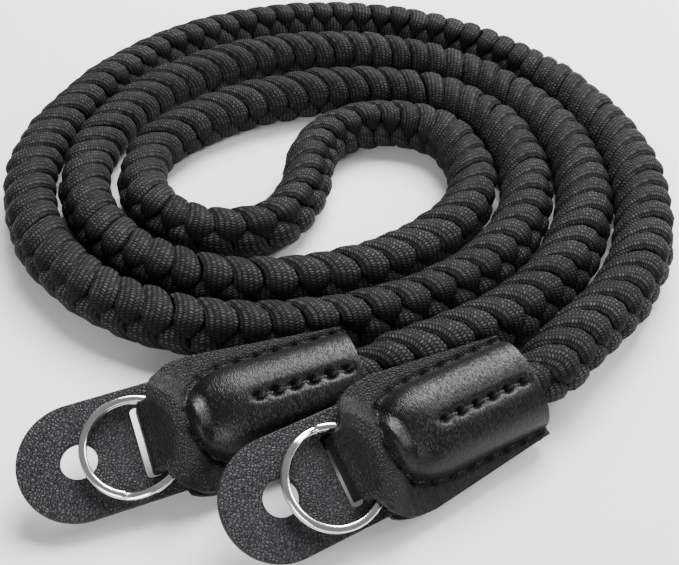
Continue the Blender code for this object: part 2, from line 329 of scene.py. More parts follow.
# The rope's way between the two mouths
ropeRoute = [
    (40.1, -41.2), (49.3, -30.3), (56.3, -16.6), (60.2, 0.8), (59.6, 19.0), (54.2, 37.5),
    (44.9, 53.9), (31.9, 67.9), (15.8, 76.9), (-2.0, 80.0), (-19.5, 76.6), (-36.0, 67.3),
    (-48.8, 53.0), (-57.3, 35.2), (-61.4, 15.8), (-59.1, -2.2), (-50.9, -18.9), (-37.8, -31.2),
    (-22.2, -37.7), (-5.0, -38.0), (12.1, -33.0), (26.5, -22.4), (35.8, -7.6), (38.4, 9.8),
    (33.8, 27.0), (21.9, 39.2), (4.5, 42.8), (-12.8, 38.8), (-27.7, 29.8), (-37.3, 17.0),
    (-38.2, 3.4), (-31.9, -7.2), (-21.8, -12.6), (-11.2, -9.6), (-5.8, 1.6), (-4.6, 14.2),
    (1.0, 24.0), (11.6, 27.8), (22.2, 23.6), (27.2, 12.0), (26.8, -0.8), (19.2, -13.3),
    (6.5, -22.7), (-8.5, -27.1), (-23.4, -25.8), (-36.7, -18.4), (-46.3, -6.1), (-50.3, 8.5),
    (-48.6, 24.8), (-41.8, 39.6), (-31.0, 51.4), (-17.0, 58.9), (-1.5, 61.5), (14.5, 58.8),
    (29.0, 50.6), (39.8, 38.6), (46.9, 24.3), (49.5, 8.3), (47.3, -7.9), (40.2, -23.2),
    (30.4, -34.5), (17.4, -43.6),
]

halfWall = leather["wall"] / 2
halfClosed = leather["clearance"] / 2 + halfWall
halfParted = leather["flapWall"] / 2 + leather["clearance"] + halfWall
ringBase = leather["flapWall"] / 2 + leather["clearance"]
ringThickness = 2 * ring["wireHeight"] + ring["turnGap"]
overRing = ringBase + ringThickness + leather["clearance"] + halfWall
bulgeUnder = rope["endDiameter"] / 2 + leather["clearance"] + halfWall
bulgeTop = bulgeUnder + leather["bulgeExtra"]


def endPlace(side):
    # carries an end from its own axes to where it lies: its fold is at 0 and its mouth at minus its length
    end = layout[side]
    heading, pitch, roll = (math.radians(end[name]) for name in ("heading", "pitch", "roll"))
    level = leather["shoulderWidth"] / 2 * math.sin(roll) + (halfParted + halfWall) * math.cos(roll)
    level = level * math.cos(pitch) + (end["length"] - leather["shoulderBack"]) * math.sin(pitch)
    x, y = (a - b for a, b in zip(end["mouth"], layout["centre"]))
    turn = Matrix.Rotation(heading, 4, "Z") @ Matrix.Rotation(pitch, 4, "Y") @ Matrix.Rotation(-roll, 4, "X")
    mouth = Matrix.Translation(Vector((x, y, level)) * mm)
    return mouth @ turn @ Matrix.Translation((end["length"] * mm, 0, 0))


def placePiece(side, kind, mesh, *finishes):
    name = f"{side}_{kind}"
    mesh.transform(endPlace(side))
    mesh.name = name
    return newPiece(name, mesh, *finishes)


# Rope: two rows of cords half round it, each row's ends tucked in between the other's

def ropePoints():
    centre = Vector((*layout["centre"], 0.0))
    way = [(Vector((x, y, rope["diameter"] / 2)) - centre) * mm for x, y in ropeRoute]
    tails = []
    for side, near in (("right", way), ("left", way[::-1])):
        place = endPlace(side)
        length = layout[side]["length"]
        fromMouth = (-rope["squeeze"], rope["endLength"] / 2, rope["endLength"])
        tails.append([place @ Vector(((along - length) * mm, 0, 0)) for along in fromMouth])
        mouth = tails[-1][0]
        for point in near[:rope["risePoints"]]:
            away = (point.xy - mouth.xy).length
            point.z = mix(mouth.z, point.z, smoothStep(away / (rope["rise"] * mm)))
    return tails[0][::-1] + way + tails[1]


def evenPoints(points, spacing):
    # the same line through evenly spaced points, near the given spacing
    lengths = [0.0]
    for a, b in zip(points, points[1:]):
        lengths.append(lengths[-1] + math.dist(a, b))
    count = round(lengths[-1] / spacing)
    placed, k = [], 0
    for i in range(count + 1):
        target = lengths[-1] * i / count
        while k < len(points) - 2 and lengths[k + 1] < target:
            k += 1
        share = (target - lengths[k]) / (lengths[k + 1] - lengths[k])
        placed.append([mix(a, b, share) for a, b in zip(points[k], points[k + 1])])
    return placed


def smoothLine(points, spacing, steps=12):
    # evenly spaced points on a smooth curve through the given ones
    fine = []
    padded = [2 * points[0] - points[1]] + points + [2 * points[-1] - points[-2]]
    for a, b, c, d in zip(padded, padded[1:], padded[2:], padded[3:]):
        for i in range(steps):
            t = i / steps
            fine.append(0.5 * (2 * b + (c - a) * t + (2 * a - 5 * b + 4 * c - d) * t ** 2
                               + (3 * b - a - 3 * c + d) * t ** 3))
    return [Vector(point) for point in evenPoints(fine + points[-1:], spacing)]


weave = {
    "rowPitch": 0.55, "columnPitch": 0.92, "slant": 0.50, "yarnHalf": (0.42, 0.46), "relief": 0.09,
    "fleckEdge": (1.15, 0.15),  # where a yarn starts to show and where it is full
    "fibres": (9.0, 2.5, 1.0), "fibreRelief": 0.15,
    # how bright yarns and fibres are: a part that varies and a part that is always there; the bright yarns
    # are painted glints
    "chance": (0.56, 0.26), "chancePower": 1.8, "fibreBright": (0.24, 0.02), "cordBright": (0.30, 0.78),
    # the dark lines are painted shade between the yarns, and the brightest yarns are painted glints
    "tones": ((0.0, 0.0030), (0.30, 0.0170), (1.0, 0.070)),  # of dark lines, yarns and brightest yarns
    # a cord's tucked ends get painted shade: over which angles from its middle, and how bright they stay
    "tuck": (60, 84), "tuckShade": 0.32, "blue": 1.05,
}


def sheathMaterial():
    # slanted yarns in columns that lean in turn to either side, with painted glints on the bright yarns and
    # painted shade in the dark lines between them
    made, tree, shader = newMaterial("black nylon sheath", Roughness=0.55, Specular_IOR_Level=0.03)
    place = addNode(tree, "ShaderNodeUVMap", uv_map="sheath").outputs[0]
    split = splitVector(tree, place)
    across = calc(tree, "DIVIDE", split["Y"], weave["columnPitch"])
    column = calc(tree, "FLOOR", across)
    inColumn = calc(tree, "SUBTRACT", calc(tree, "FRACT", across), 0.5)
    odd = calc(tree, "MODULO", calc(tree, "ABSOLUTE", column), 2.0)
    lean = calc(tree, "MULTIPLY_ADD", odd, 2 * weave["slant"], -weave["slant"])
    along = calc(tree, "MULTIPLY_ADD", odd, 0.5, calc(tree, "DIVIDE", split["X"], weave["rowPitch"]))
    along = calc(tree, "MULTIPLY_ADD", lean, inColumn, along)
    row = calc(tree, "FLOOR", along)
    inRow = calc(tree, "SUBTRACT", calc(tree, "FRACT", along), 0.5)
    away = [calc(tree, "POWER", calc(tree, "DIVIDE", calc(tree, "ABSOLUTE", share), half), 2.0)
            for share, half in zip((inRow, inColumn), weave["yarnHalf"])]
    # a yarn's shape, which gives its relief and where its painted glint lies
    yarnAndGlint = ramped(tree, calc(tree, "ADD", *away), *weave["fleckEdge"])
    fibres = noiseAt(tree, vectorCalc(tree, "MULTIPLY", place, weave["fibres"]), 1.0, 2.0).outputs[0]
    cell = addNode(tree, "ShaderNodeCombineXYZ", {0: row, 1: column})
    chance = addNode(tree, "ShaderNodeTexWhiteNoise", {"Vector": cell.outputs[0]}, noise_dimensions="3D")
    chance = calc(tree, "POWER", chance.outputs[0], weave["chancePower"])
    # painted glints on the yarns, and painted shade in the lines between them
    bright = calc(tree, "MULTIPLY", yarnAndGlint, calc(tree, "MULTIPLY_ADD", chance, *weave["chance"]))
    bright = calc(tree, "ADD", bright, calc(tree, "MULTIPLY_ADD", fibres, *weave["fibreBright"]))
    bright = calc(tree, "MULTIPLY", bright, calc(
        tree, "MULTIPLY_ADD", attribute(tree, "wrapTone"), *weave["cordBright"]))
    # painted shade on the cords' tucked ends
    bright = calc(tree, "MULTIPLY", bright, calc(
        tree, "MULTIPLY_ADD", attribute(tree, "tucked"), weave["tuckShade"] - 1.0, 1.0))
    colour = colourRamp(tree, bright, [
        (stop, (light, light, light * weave["blue"])) for stop, light in weave["tones"]])
    tree.links.new(colour, shader.inputs["Base Color"])
    height = calc(tree, "MULTIPLY_ADD", fibres, weave["fibreRelief"], yarnAndGlint)
    addBump(tree, shader, height, weave["relief"])
    return made


wrap = {
    # degrees from a cord's middle: its rows of points, and where its tongue begins, dives under and ends;
    # and how much painted shade darkens its tucked end, from 0 to 1
    "upper": {"rows": (22, 44, 62, 76, 88, 99, 110, 119), "fullTo": 64, "diveFrom": 94, "dive": 2.2,
              "tuck": 1.0},
    "lower": {"rows": (30, 54, 70, 84, 98, 112), "fullTo": 54, "diveFrom": 58, "dive": 1.5, "tuck": 0.0},
    # its section, a flat band with rounded edges, in half widths and half thicknesses
    "section": ((1.0, -0.3), (0.91, 0.36), (0.60, 0.82), (0.0, 1.0), (-0.60, 0.82), (-0.91, 0.36),
                (-1.0, -0.3), (0.0, -0.9)),
    "swell": 1.04, "point": 1.5,  # its width against the pitch, and how round its tongue is
    "endWidth": 0.3, "endCord": 0.6,  # the half sizes of its tip
}


def wrapMesh(name, family):
    # one cord half round a straight rope along X, with its sheath's UV in mm from the cord's middle
    bend = wrap[family]
    reach = bend["rows"][-1]
    orbit = (rope["diameter"] - rope["cord"]) / 2

    def centreAt(away):
        dived = smoothStep((abs(away) - bend["diveFrom"]) / (reach - bend["diveFrom"]))
        radius = orbit - bend["dive"] * dived
        turn = math.radians(away)
        leaning = math.sin(math.pi / 2 * min(1.0, max(-1.0, away / rope["leanTo"])))
        return Vector((rope["lean"] * leaning, -radius * math.sin(turn), radius * math.cos(turn)))

    rows, tucked, places = [], [], []
    light, dark = weave["tuck"]
    for away in (*(-place for place in reversed(bend["rows"])), 0, *bend["rows"]):
        centre = centreAt(away)
        ahead = (centreAt(away + 1.0) - centreAt(away - 1.0)).normalized()
        outward = Vector((0.0, centre.y, centre.z)).normalized()
        lateral = ahead.cross(outward).normalized()
        outward = lateral.cross(ahead)
        past = max(0.0, (abs(away) - bend["fullTo"]) / (reach - bend["fullTo"])) ** wrap["point"]
        halfWidth = mix(rope["pitch"] / 2 * wrap["swell"] * abs(lateral.x), wrap["endWidth"], past)
        halfCord = mix(rope["cord"] / 2, wrap["endCord"], past)
        # how much painted shade the sheath puts on this row, darker where the tongue tucks under
        shade = bend["tuck"] * smoothStep((abs(away) - light) / (dark - light))
        tucked.append([shade] * len(wrap["section"]))
        rows.append([centre + lateral * halfWidth * a + outward * halfCord * b for a, b in wrap["section"]])
        face = centre + outward * halfCord
        places.append(places[-1] + (face - before).length if places else 0.0)
        before = face
    uvRows = []
    for row, travelled in zip(rows, places):
        around = [0.0]
        for a, b in zip(row, row[1:] + row[:1]):
            around.append(around[-1] + (b - a).length)
        middle = around[wrap["section"].index((0.0, 1.0))]
        uvRows.append([(travelled - places[-1] / 2, place - middle) for place in around])
    return gridMesh(name, [[point * mm for point in row] for row in rows], uvRows, "sheath",
                    closed=True, capped=True, shareName="tucked", shares=tucked)


def ropeTree():
    tree, given, result = geometryTree("ropeLay", {
        "Path": "Object", "Upper Wrap": "Object", "Lower Wrap": "Object", "Core": "Object", "Wraps": "Int",
        "Pitch": "Float", "Unevenness": "Float", "Tail": "Float", "Squeeze": "Float", "End Scale": "Float",
        "Seed": "Int", "Finish": "Material",
    })
    joined = tree.nodes.new("GeometryNodeJoinGeometry")
    for number, (label, shift) in enumerate((("Upper Wrap", 0.5), ("Lower Wrap", 1.0))):
        start = addNode(tree, "ShaderNodeCombineXYZ", {"X": calc(tree, "MULTIPLY", given["Pitch"], shift)})
        step = addNode(tree, "ShaderNodeCombineXYZ", {"X": given["Pitch"]})
        line = addNode(tree, "GeometryNodeMeshLine", {
            "Count": given["Wraps"], "Start Location": start.outputs[0], "Offset": step.outputs[0]})
        seeds = {use: calc(tree, "ADD", given["Seed"], number + offset)
                 for use, offset in rope["seeds"].items()}
        spin = scaled(tree, randomVector(tree, rope["spin"], seeds["spin"]), given["Unevenness"])
        stretch = scaled(tree, randomVector(tree, rope["stretch"], seeds["stretch"]), given["Unevenness"])
        size = vectorCalc(tree, "ADD", stretch, (1.0, 1.0, 1.0))
        cords = addNode(tree, "GeometryNodeInstanceOnPoints", {
            "Points": line.outputs[0], "Instance": objectShape(tree, given[label]),
            "Rotation": spin, "Scale": size})
        tone = addNode(tree, "FunctionNodeRandomValue", {"Seed": seeds["tone"]}, data_type="FLOAT")
        toned = addNode(tree, "GeometryNodeStoreNamedAttribute", {
            "Geometry": cords.outputs[0], "Name": "wrapTone", "Value": tone.outputs[1]},
            data_type="FLOAT", domain="INSTANCE")
        real = addNode(tree, "GeometryNodeRealizeInstances", {0: toned.outputs[0]})
        tree.links.new(real.outputs[0], joined.inputs[0])
    tree.links.new(objectShape(tree, given["Core"]), joined.inputs[0])

    # bend the straight rope round its path, narrower at its two tails
    path = objectShape(tree, given["Path"])
    length = addNode(tree, "GeometryNodeCurveLength", {0: path}).outputs[0]
    position = tree.nodes.new("GeometryNodeInputPosition").outputs[0]
    along = splitVector(tree, position)["X"]
    sample = addNode(tree, "GeometryNodeSampleCurve", {"Curves": path, "Length": along}, mode="LENGTH",
                     use_all_curves=True)
    ahead = sample.outputs["Tangent"]
    side = vectorCalc(tree, "NORMALIZE", vectorCalc(tree, "CROSS_PRODUCT", (0.0, 0.0, 1.0), ahead))
    up = vectorCalc(tree, "CROSS_PRODUCT", ahead, side)
    fromEnd = calc(tree, "MINIMUM", along, calc(tree, "SUBTRACT", length, along))
    squeezeEnd = calc(tree, "ADD", given["Tail"], given["Squeeze"])
    narrow = ramped(tree, fromEnd, given["Tail"], squeezeEnd, given["End Scale"])
    share = calc(tree, "DIVIDE", along, length)
    roll = calc(tree, "RADIANS", keyed(tree, share, rope["roll"], 90.0))
    full = calc(tree, "MULTIPLY", narrow, keyed(tree, share, rope["girth"], 2.0))
    centre = addNode(tree, "ShaderNodeCombineXYZ", {"X": along})
    turned = addNode(tree, "ShaderNodeVectorRotate", {
        "Vector": position, "Axis": (-1.0, 0.0, 0.0), "Angle": roll, "Center": centre.outputs[0]},
        rotation_type="AXIS_ANGLE")
    turned = splitVector(tree, turned.outputs[0])
    place = sample.outputs["Position"]
    for way, axis in ((side, "Y"), (up, "Z")):
        reach = calc(tree, "MULTIPLY", turned[axis], full)
        place = vectorCalc(tree, "ADD", place, scaled(tree, way, reach))
    bent = addNode(tree, "GeometryNodeSetPosition", {"Geometry": joined.outputs[0], "Position": place})
    finishTree(tree, bent.outputs[0], given["Finish"], result)
    return tree


def makeRope():
    line = smoothLine(ropePoints(), rope["pitch"] * mm / 2)
    for i, point in enumerate(line):
        point.z = max(point.z, rope["diameter"] / 2 * mm * keyedAt(i / (len(line) - 1), rope["girth"]))
    length = sum((b - a).length for a, b in zip(line, line[1:]))
    curve = newCurve("rope_path", "3D")
    addLine(curve, line)
    path = newPiece("rope_path", curve)
    upper = newPiece("wrap_upper", wrapMesh("wrap_upper", "upper"))
    lowerMesh = wrapMesh("wrap_lower", "lower")
    lowerMesh.transform(Matrix.Rotation(math.pi, 4, "X"))
    lower = newPiece("wrap_lower", lowerMesh)
    # a plain core, so that no light shows between the cords
    steps, sides, radius = 300, 6, rope["core"] * mm
    turns = [math.tau * k / sides for k in range(sides)]
    core = newPiece("rope_core", gridMesh("rope_core", [
        [Vector((length * i / steps, radius * math.cos(turn), radius * math.sin(turn))) for turn in turns]
        for i in range(steps + 1)], closed=True, capped=True))
    wraps = round(length / (rope["pitch"] * mm))
    mesh = runTree("paracord_wraps", ropeTree(), {
        "Path": path, "Upper Wrap": upper, "Lower Wrap": lower, "Core": core, "Wraps": wraps,
        "Pitch": length / wraps, "Unevenness": 1.0, "Tail": (rope["endLength"] + rope["lean"]) * mm,
        "Squeeze": rope["squeeze"] * mm, "End Scale": rope["endDiameter"] / rope["diameter"],
        "Seed": 5, "Finish": sheathMaterial(),
    })
    discard(path, upper, lower, core)
    piece = newPiece("paracord_wraps", mesh)
    mesh.name = "paracord_wraps"
    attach(piece, "root")
    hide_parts("paracord_rope")
    print("camera strap: rope", round(length, 3), "m,", wraps, "wraps,", len(mesh.polygons), "faces")


makeRope()


# Leather finishes

grain = {
    "pebble": 0.46, "valley": 0.34, "relief": 0.120, "warp": 1.4, "warpReach": 0.45, "randomness": 0.9,
    "sewnShare": 0.85, "flapShare": 1.05,  # of that relief
    # on the moulding the pebbles are drawn out across it, with folds between them
    "wrinkle": (1.9, 0.50, 1.0), "wrinkleRelief": 0.034, "fold": 1.1, "foldShare": 1.2, "foldTwist": 0.6,
    "colour": (0.0034, 0.0035, 0.0041), "flapColour": (0.0225, 0.0229, 0.0262),
    # the colour follows the grain: darker in its valleys, painted shade, and lighter on its hills, partly
    # painted light and partly a random tone; worn places add to it
    "wearTone": 0.2, "hillTone": 0.7,
    "valleyShade": (0.15, 0.25), "hillShade": (0.75, 1.6),  # a tone, and how bright the colour is there
    "matt": 0.45, "flat": 0.57, "glossy": 0.37,  # the roughness of flap, flat and moulding
    "wear": 0.16, "wearRange": (-0.03, 0.05),
}
cutEdge = {
    "fibre": 3.0, "relief": 0.12,
    "tones": ((0.35, (0.010, 0.008, 0.007)), (0.75, (0.045, 0.032, 0.026))),
}


def pebbles(tree, place):
    # low rounded hills of uneven height, with narrow valleys between them
    warp = noiseAt(tree, place, grain["warp"], 2.0).outputs["Color"]
    warped = vectorCalc(tree, "ADD", place, scaled(tree, warp, grain["warpReach"]))
    values = {"Vector": warped, "Scale": 1 / grain["pebble"], "Randomness": grain["randomness"]}
    edge = addNode(tree, "ShaderNodeTexVoronoi", values, feature="DISTANCE_TO_EDGE")
    cell = addNode(tree, "ShaderNodeTexVoronoi", values, feature="F1")
    own = splitVector(tree, cell.outputs["Color"])[0]
    hill = ramped(tree, edge.outputs["Distance"], 0.0, grain["valley"])
    return calc(tree, "MULTIPLY", hill, calc(tree, "MULTIPLY_ADD", own, 0.5, 0.5))


def leatherMaterial(name, sewn):
    made, tree, shader = newMaterial(name, Roughness=grain["matt"], Specular_IOR_Level=0.25)
    if sewn:
        place = addNode(tree, "ShaderNodeUVMap", uv_map="hide").outputs[0]
    else:
        place = objectPlace(tree)
    hills = pebbles(tree, place)
    height = calc(tree, "MULTIPLY", hills, grain["relief"] * grain["sewnShare" if sewn else "flapShare"])
    wear = noiseAt(tree, place, grain["wear"], 3.0).outputs[0]
    even = grain["flat" if sewn else "matt"]
    smoothest, roughest = (even + change for change in grain["wearRange"])
    rough = ramped(tree, wear, 0.0, 1.0, smoothest, roughest, "LINEAR")
    if sewn:
        moulded = attribute(tree, "moulded")
        drawn = vectorCalc(tree, "MULTIPLY", place, grain["wrinkle"])
        folds = noiseAt(tree, drawn, grain["fold"], 3.0, Distortion=grain["foldTwist"]).outputs[0]
        fine = calc(tree, "MULTIPLY_ADD", folds, grain["foldShare"], pebbles(tree, drawn))
        fine = calc(tree, "MULTIPLY", fine, grain["wrinkleRelief"])
        height = calc(tree, "ADD", calc(tree, "MULTIPLY", height, calc(tree, "SUBTRACT", 1.0, moulded)),
                      calc(tree, "MULTIPLY", fine, moulded))
        rough = calc(tree, "MULTIPLY_ADD", moulded, grain["glossy"] - even, rough)
    tree.links.new(rough, shader.inputs["Roughness"])
    addBump(tree, shader, height, 1.0)
    # painted shade in the grain's valleys and painted light on its hills, with the hills' random tone and
    # the worn places
    tone = calc(tree, "MULTIPLY", hills, grain["hillTone"])
    tone = calc(tree, "MULTIPLY_ADD", wear, grain["wearTone"], tone)
    hue = grain["colour" if sewn else "flapColour"]
    stops = [(stop, [part * share for part in hue])
             for stop, share in (grain["valleyShade"], grain["hillShade"])]
    tree.links.new(colourRamp(tree, tone, stops), shader.inputs["Base Color"])
    return made


def cutEdgeMaterial():
    made, tree, shader = newMaterial("cut leather edge", Roughness=0.8, Specular_IOR_Level=0.3)
    fibres = noiseAt(tree, objectPlace(tree), cutEdge["fibre"], 5.0, Roughness=0.7).outputs[0]
    tree.links.new(colourRamp(tree, fibres, cutEdge["tones"]), shader.inputs["Base Color"])
    addBump(tree, shader, fibres, cutEdge["relief"])
    return made


coverFinish = leatherMaterial("moulded black leather", True)
flapFinish = leatherMaterial("pebbled black leather", False)
edgeFinish = cutEdgeMaterial()


# Leather ends: one sheet folded through the ring, moulded over the rope's end and sewn round it

def halfWidthAt(along, length):
    back, wide = leather["shoulderBack"], leather["shoulderWidth"]
    if along <= -back:
        return mix(wide, leather["mouthWidth"], (along + back) / (back - length)) / 2
    return mix(wide, leather["tabWidth"], (1 + along / back) ** leather["shoulderRounding"]) / 2


def edgeAt(along, across):
    # 0 in the moulding's middle and 1 along its edge
    power = leather["squareness"]
    nose = max(0.0, 1 + (along + leather["bulgeBack"] - halfWall) / leather["bulgeNose"])
    side = 2 * abs(across) / (leather["bulgeWidth"] + leather["wall"])
    return (side ** power + nose ** power) ** (1 / power)


def domeAt(along, across):
    # the moulding's outer face: 1 on its crest and 0 at its seam
    soft = leather["roundness"]
    rise = math.sqrt(max(0.0, 1.0 - edgeAt(along, across) ** 2) + soft ** 2) - soft
    return rise / (math.sqrt(1 + soft ** 2) - soft)


def wingAt(along):
    tuck = leather["flapTuck"] + leather["clearance"]
    return mix(halfClosed, halfParted, smoothStep((along + tuck) / leather["parting"] + 1))


def grooveAt(along, across, length):
    # the channel along the moulding's crest: 1 on its bottom
    start = leather["channelInset"] - length
    past, fade = leather["channelFade"]["mouth"]
    share = smoothStep((along - start + past) / fade)
    past, fade = leather["channelFade"]["nose"]
    share *= smoothStep((start + leather["channelLength"] + past - along) / fade)
    flat = leather["channelFlat"]
    return share * (1 - smoothStep((abs(across) - flat) / (leather["channelWidth"] / 2 - flat)))


def topAt(along, across, length):
    fromRing = math.hypot(along - ring["reach"], across - ring["slip"])
    reach = ring["diameter"] / 2 + leather["clearance"] + halfWall
    level = mix(wingAt(along), overRing, smoothStep(1 + (reach - fromRing) / ring["drape"]))
    # inside the ring it falls straight to the slot
    inner = ring["diameter"] / 2 - ring["wireWidth"]
    run = max(ring["fallRun"], inner - math.hypot(ring["slotPlace"] - ring["reach"], across - ring["slip"]))
    share = min(1.0, max(0.0, (inner - fromRing) / run))
    level -= (overRing - halfParted) * ring["fall"] * share ** 2 / (share + ring["fallEase"])
    crest = bulgeTop - leather["channelDepth"] * grooveAt(along, across, length)
    fromSeam = (edgeAt(along, across) - leather["creaseOut"]) * leather["bulgeWidth"] / 2
    level -= leather["crease"] * math.exp(-(fromSeam / leather["creaseWidth"]) ** 2)
    return level + halfWall + (crest - halfClosed) * domeAt(along, across)


def underAt(along, across):
    return -wingAt(along) - halfWall - (bulgeUnder - halfClosed) * domeAt(along, across)


stitching = {
    "crest": {"spacing": 3.05, "pitDepth": 1.0, "pitSize": (0.85, 0.60), "thread": 0.27, "sink": 0.30},
    "seam": {"spacing": 3.1, "pitDepth": 0.40, "pitSize": (0.42, 0.42), "thread": 0.22, "sink": 0.10},
    "seamOut": 0.30, "fromMouth": 1.6,
    "length": 2.5, "steps": 7, "sides": 6, "dive": 0.85, "thin": 0.35, "drop": 0.02,  # of one stitch
    "jitter": ((-0.05, -0.05, -0.09), (0.05, 0.05, 0.09)),
    "twist": 11.0, "twistRelief": 0.05,
    "tones": ((0.0, (0.003, 0.003, 0.003)), (1.0, (0.014, 0.014, 0.015))),
}


def squaredPoint(turn, power):
    # a point of a circle drawn out towards a square
    return [math.copysign(abs(place) ** power, place) for place in (math.cos(turn), math.sin(turn))]


def seamLine(length):
    # round the moulding, from the mouth on its far side to the mouth on its near side
    half = (leather["bulgeWidth"] + leather["wall"]) / 2 + stitching["seamOut"]
    back = leather["bulgeBack"] - halfWall - stitching["seamOut"]
    nose = leather["bulgeNose"]
    start = -back - nose
    mouth = stitching["fromMouth"] - length
    straight, curved = 16, 24
    points = [(mix(mouth, start, i / straight), half) for i in range(straight)]
    for i in range(curved + 1):
        x, y = squaredPoint(math.pi * (0.5 - i / curved), 2 / leather["squareness"])
        points.append((start + nose * x, half * y))
    return points + [(mix(start, mouth, i / straight), -half) for i in range(1, straight + 1)]


def acrossPlaces(half):
    # closer together over the moulding and its seam than near the edges
    seam = min(leather["fineHalf"], 0.9 * half)
    fine, coarse = 56, 6
    inner = [seam * (2 * i / fine - 1) for i in range(fine + 1)]
    outer = [mix(seam, half, i / coarse) for i in range(1, coarse + 1)]
    return [-place for place in reversed(outer)] + inner + outer


def stitchRuns(length):
    # the holes of the row round the moulding and of the row along its crest
    start = leather["channelInset"] - length
    crest = [(start, 0.0), (start + leather["channelLength"], 0.0)]
    return {"seam": evenPoints(seamLine(length), stitching["seam"]["spacing"]),
            "crest": evenPoints(crest, stitching["crest"]["spacing"])}


def coverMesh(length):
    pits = [(*hole, stitching[label]["pitDepth"], *stitching[label]["pitSize"])
            for label, holes in stitchRuns(length).items() for hole in holes]

    def pitAt(along, across):
        return max(depth * math.exp(-((along - x) / long) ** 2 - ((across - y) / wide) ** 2)
                   for x, y, depth, long, wide in pits)

    rows = []
    back, lowerSteps, upperSteps = leather["foldBack"], 30, 120
    for i in range(lowerSteps + 1):
        along = mix(-length, back, i / lowerSteps)
        half = halfWidthAt(along, length)
        rows.append([Vector((along, v, underAt(along, v))) for v in acrossPlaces(half)])
    # the fold, up through the flap's slot: how far out, how high and how wide on each side
    tabHalf, front, tip = leather["tabEndWidth"] / 2, leather["foldFront"], leather["foldTip"]
    under, over = -halfParted - halfWall, topAt(tip, 0.0, length)
    turns = [
        (back, under, halfWidthAt(back, length)), (-0.95, under, tabHalf + 0.35),
        (0.9, under * 0.97, tabHalf), (front, -0.75, tabHalf), (front, 0.45, tabHalf),
        (front - 0.25, over - 0.45, tabHalf), (tip, over, tabHalf), (tip - 0.7, over + 0.1, tabHalf),
    ]
    fold = smoothLine([Vector(turn) for turn in turns], leather["foldStep"])
    for along, height, half in fold[1:-4]:
        lifted = smoothStep(height / over) ** 2
        rows.append([Vector((along, v, height + lifted * (topAt(tip, v, length) - over)))
                     for v in acrossPlaces(half)])
    moulded = [[0.0] * len(row) for row in rows]
    for i in range(upperSteps + 1):
        along = mix(tip - leather["foldLap"], -length, i / upperSteps)
        half = mix(tabHalf, halfWidthAt(along, length), smoothStep((tip - along) / leather["tabFlare"]))
        atMouth = leather["mouthRecess"] * smoothStep(1 - (along + length) / leather["mouthRun"])
        row, shares = [], []
        for v in acrossPlaces(half):
            recess = atMouth * domeAt(along, v)
            row.append(Vector((along + recess, v, topAt(along, v, length) - pitAt(along, v))))
            shares.append(smoothStep((1.0 - edgeAt(along, v)) / leather["mouldedFade"]))
        rows.append(row)
        moulded.append(shares)
    uvRows, run = [], 0.0
    for i, row in enumerate(rows):
        run += (row[len(row) // 2] - rows[i - 1][len(row) // 2]).length if i else 0.0
        uvRow, sideways = [], 0.0
        for a, b in zip([row[0]] + row, row):
            sideways += (b - a).length
            uvRow.append((run, sideways))
        uvRows.append(uvRow)
    return gridMesh("sheet", [[point * mm for point in row] for row in rows], uvRows, "hide",
                    shareName="moulded", shares=moulded)


def makeCover(side):
    sheet = newPiece("sheet", coverMesh(layout[side]["length"]), coverFinish, edgeFinish)
    wall = sheet.modifiers.new("wall", "SOLIDIFY")
    wall.thickness = leather["wall"] * mm
    wall.offset = -1.0
    wall.material_offset_rim = 1
    soften = sheet.modifiers.new("soften", "BEVEL")
    soften.width = leather["softEdge"] * mm
    soften.segments = 2
    soften.limit_method = "ANGLE"
    soften.angle_limit = math.radians(leather["softAngle"])
    piece = placePiece(side, "cover", bakedMesh(sheet))
    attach(piece, "root")
    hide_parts(f"{side}_leather_end")
    print("camera strap:", side, "leather end,", len(piece.data.polygons), "faces")


# Stitches: thread laid from hole to hole

def threadMaterial():
    made, tree, shader = newMaterial("black waxed thread", Roughness=0.50, Specular_IOR_Level=0.40)
    place = splitVector(tree, addNode(tree, "ShaderNodeUVMap", uv_map="thread").outputs[0])
    turns = calc(tree, "MULTIPLY", calc(tree, "ADD", place["X"], place["Y"]), stitching["twist"])
    twist = calc(tree, "SINE", turns)
    colour = colourRamp(tree, calc(tree, "MULTIPLY_ADD", twist, 0.5, 0.5), stitching["tones"])
    tree.links.new(colour, shader.inputs["Base Color"])
    addBump(tree, shader, twist, stitching["twistRelief"])
    return made


def stitchMesh(thread):
    # a bow of thread along X, whose thinner ends go down into the holes
    rows, uvRows = [], []
    steps, sides = stitching["steps"], stitching["sides"]
    for i in range(steps + 1):
        share = 2 * i / steps - 1
        along = stitching["length"] / 2 * share
        height = -stitching["drop"] - stitching["dive"] * abs(share) ** 3
        radius = thread * (1 - stitching["thin"] * abs(share) ** 4)
        rows.append([Vector((along, radius * math.cos(t), height + radius * math.sin(t))) * mm
                     for t in (math.tau * k / sides for k in range(sides))])
        uvRows.append([(along, math.tau * radius * k / sides) for k in range(sides + 1)])
    return gridMesh("stitch", rows, uvRows, "thread", closed=True, capped=True)


def stitchTree():
    tree, given, result = geometryTree("stitchRun", {
        "Line": "Object", "Stitch": "Object", "Stitches": "Int", "Unevenness": "Float", "Seed": "Int",
        "Thread": "Material",
    })
    points = addNode(tree, "GeometryNodeResampleCurve", {
        "Curve": objectShape(tree, given["Line"]), "Count": given["Stitches"]})
    ahead = tree.nodes.new("GeometryNodeInputTangent").outputs[0]
    turned = addNode(tree, "FunctionNodeAlignRotationToVector", {"Vector": ahead}, axis="X", pivot_axis="Z")
    jitter = scaled(tree, randomVector(tree, stitching["jitter"], given["Seed"]), given["Unevenness"])
    rotated = addNode(tree, "FunctionNodeRotateRotation", {
        "Rotation": turned.outputs[0], "Rotate By": jitter}, rotation_space="LOCAL")
    laid = addNode(tree, "GeometryNodeInstanceOnPoints", {
        "Points": points.outputs[0], "Instance": objectShape(tree, given["Stitch"]),
        "Rotation": rotated.outputs[0]})
    finishTree(tree, laid.outputs[0], given["Thread"], result)
    return tree


